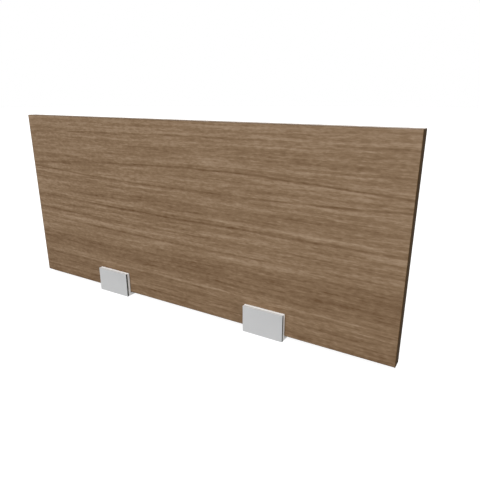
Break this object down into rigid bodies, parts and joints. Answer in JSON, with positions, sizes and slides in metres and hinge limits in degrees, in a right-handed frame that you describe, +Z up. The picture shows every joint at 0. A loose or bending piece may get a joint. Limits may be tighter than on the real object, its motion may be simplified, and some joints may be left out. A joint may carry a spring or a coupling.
{
  "type": "desk privacy panel",
  "caption": "Wood-grain desk privacy panel: a laminated, edge-banded board gripped along its lower edge by screw clamps with flat cover plates that stand on the desk.",
  "frame": {"origin": "on the desk's surface, below the middle of the object's box, between the two clamps", "axes": "+X along the board's length, +Y from the cover plates towards the clamp screws behind, +Z up"},
  "size_m": [0.8, 0.0532, 0.3575],
  "materials": {
    "core": "raw chipboard",
    "laminate": "matt wood-grain laminate",
    "edge_band": "matt wood-grain edging",
    "clamp_body": "fine textured white powder coat",
    "front_plate": "satin silver-grey lacquer",
    "pad": "matt light grey",
    "base_pad": "matt dark grey",
    "pressure_plate": "zinc plated",
    "screw": "zinc plated",
    "clip": "phosphated spring steel"
  },
  "bodies": {
    "board": {"core_board": "core", "front_laminate": "laminate", "rear_laminate": "laminate", "top_edge_band": "edge_band", "bottom_edge_band": "edge_band", "left_edge_band": "edge_band", "right_edge_band": "edge_band"},
    "left_clamp": {"left_clamp_body": "clamp_body", "left_front_plate": "front_plate", "left_plate_screws": "screw", "left_front_pad": "pad", "left_seat_pad": "pad", "left_base_pad": "base_pad"},
    "left_presser": {"left_pressure_plate": "pressure_plate", "left_rear_pad": "pad"},
    "left_outer_screw": {"left_outer_screw": "screw", "left_outer_clip": "clip"},
    "left_inner_screw": {"left_inner_screw": "screw", "left_inner_clip": "clip"},
    "right_clamp": {"right_clamp_body": "clamp_body", "right_front_plate": "front_plate", "right_plate_screws": "screw", "right_front_pad": "pad", "right_seat_pad": "pad", "right_base_pad": "base_pad"},
    "right_presser": {"right_pressure_plate": "pressure_plate", "right_rear_pad": "pad"},
    "right_outer_screw": {"right_outer_screw": "screw", "right_outer_clip": "clip"},
    "right_inner_screw": {"right_inner_screw": "screw", "right_inner_clip": "clip"}
  },
  "joints": [
    {"name": "left_clamp_slide", "type": "slide", "parent": "board", "child": "left_clamp", "axis": [1, 0, 0], "range_m": [-0.18, 0.13]},
    {"name": "left_presser_slide", "type": "slide", "parent": "left_clamp", "child": "left_presser", "axis": [0, 1, 0], "range_m": [0, 0.004]},
    {"name": "left_outer_screw_turn", "type": "hinge", "parent": "left_presser", "child": "left_outer_screw", "pos_m": [-0.201, 0.0206, 0.027], "axis": [0, 1, 0], "range_deg": [0, 1440]},
    {"name": "left_inner_screw_turn", "type": "hinge", "parent": "left_presser", "child": "left_inner_screw", "pos_m": [-0.153, 0.0206, 0.027], "axis": [0, 1, 0], "range_deg": [0, 1440]},
    {"name": "right_clamp_slide", "type": "slide", "parent": "board", "child": "right_clamp", "axis": [1, 0, 0], "range_m": [-0.13, 0.18]},
    {"name": "right_presser_slide", "type": "slide", "parent": "right_clamp", "child": "right_presser", "axis": [0, 1, 0], "range_m": [0, 0.004]},
    {"name": "right_outer_screw_turn", "type": "hinge", "parent": "right_presser", "child": "right_outer_screw", "pos_m": [0.201, 0.0206, 0.027], "axis": [0, 1, 0], "range_deg": [0, 1440]},
    {"name": "right_inner_screw_turn", "type": "hinge", "parent": "right_presser", "child": "right_inner_screw", "pos_m": [0.153, 0.0206, 0.027], "axis": [0, 1, 0], "range_deg": [0, 1440]}
  ],
  "couplings": [
    {"joint": "left_outer_screw_turn", "follows": "left_presser_slide", "rad_per_m": 6283.2},
    {"joint": "left_inner_screw_turn", "follows": "left_presser_slide", "rad_per_m": 6283.2},
    {"joint": "right_outer_screw_turn", "follows": "right_presser_slide", "rad_per_m": 6283.2},
    {"joint": "right_inner_screw_turn", "follows": "right_presser_slide", "rad_per_m": 6283.2}
  ]
}
